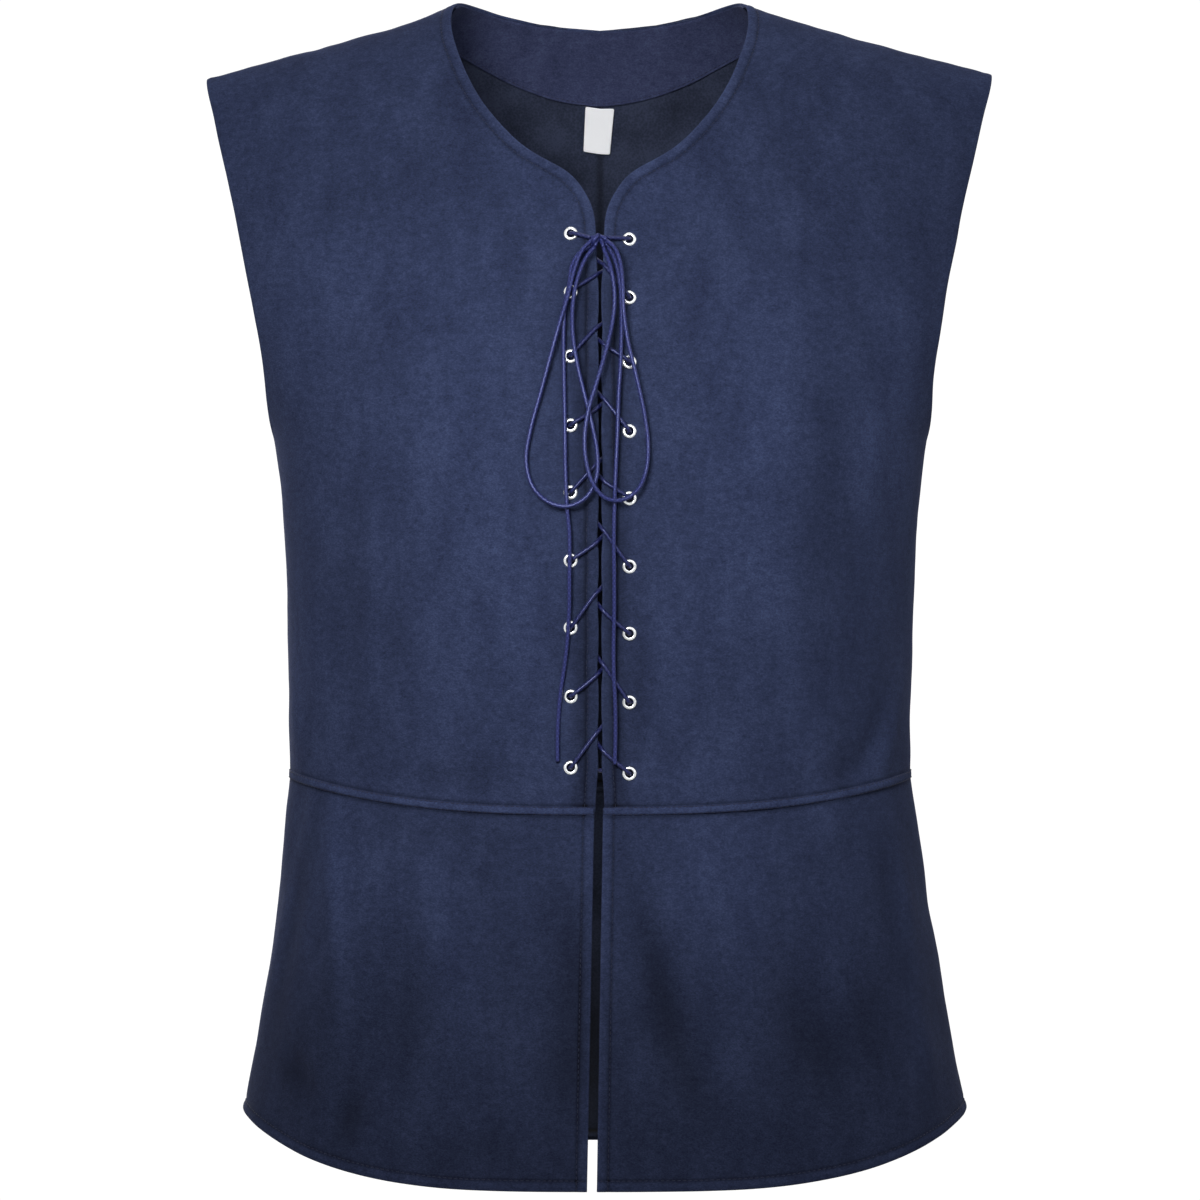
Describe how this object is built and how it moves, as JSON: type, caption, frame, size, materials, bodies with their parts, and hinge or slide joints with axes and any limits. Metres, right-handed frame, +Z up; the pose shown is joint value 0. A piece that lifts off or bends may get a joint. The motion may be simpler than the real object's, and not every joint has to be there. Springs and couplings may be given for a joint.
{
  "type": "sleeveless suede vest",
  "caption": "Sleeveless hip-length suede cloth vest with a laced front, eyelets, waist seam and split skirt, filled out as worn.",
  "frame": {"origin": "midway between the two neck points, where the wearer's shoulders carry the vest", "axes": "+Z up, the laced front faces -Y, +X to the viewer's right"},
  "size_m": [0.486, 0.2624, 0.7239],
  "materials": {
    "suede": "matte brushed suede nap",
    "lace": "satin round cord",
    "eyelets": "polished nickel plate",
    "label": "woven satin tape"
  },
  "bodies": {
    "root": {"bodice_front_left": "suede", "bodice_front_right": "suede", "bodice_back_left": "suede", "bodice_back_right": "suede", "skirt_front_left": "suede", "skirt_front_right": "suede", "skirt_back": "suede", "waist_band_left": "suede", "waist_band_right": "suede", "waist_band_back": "suede", "neck_facing": "suede", "care_label": "label", "eyelet_left_1": "eyelets", "eyelet_left_2": "eyelets", "eyelet_left_3": "eyelets", "eyelet_left_4": "eyelets", "eyelet_left_5": "eyelets", "eyelet_left_6": "eyelets", "eyelet_left_7": "eyelets", "eyelet_left_8": "eyelets", "eyelet_left_9": "eyelets", "eyelet_right_1": "eyelets", "eyelet_right_2": "eyelets", "eyelet_right_3": "eyelets", "eyelet_right_4": "eyelets", "eyelet_right_5": "eyelets", "eyelet_right_6": "eyelets", "eyelet_right_7": "eyelets", "eyelet_right_8": "eyelets", "eyelet_right_9": "eyelets", "lace_threaded": "lace", "lace_knot": "lace", "lace_loop_left": "lace", "lace_loop_right": "lace", "lace_end_left": "lace", "lace_end_right": "lace"}
  },
  "joints": []
}
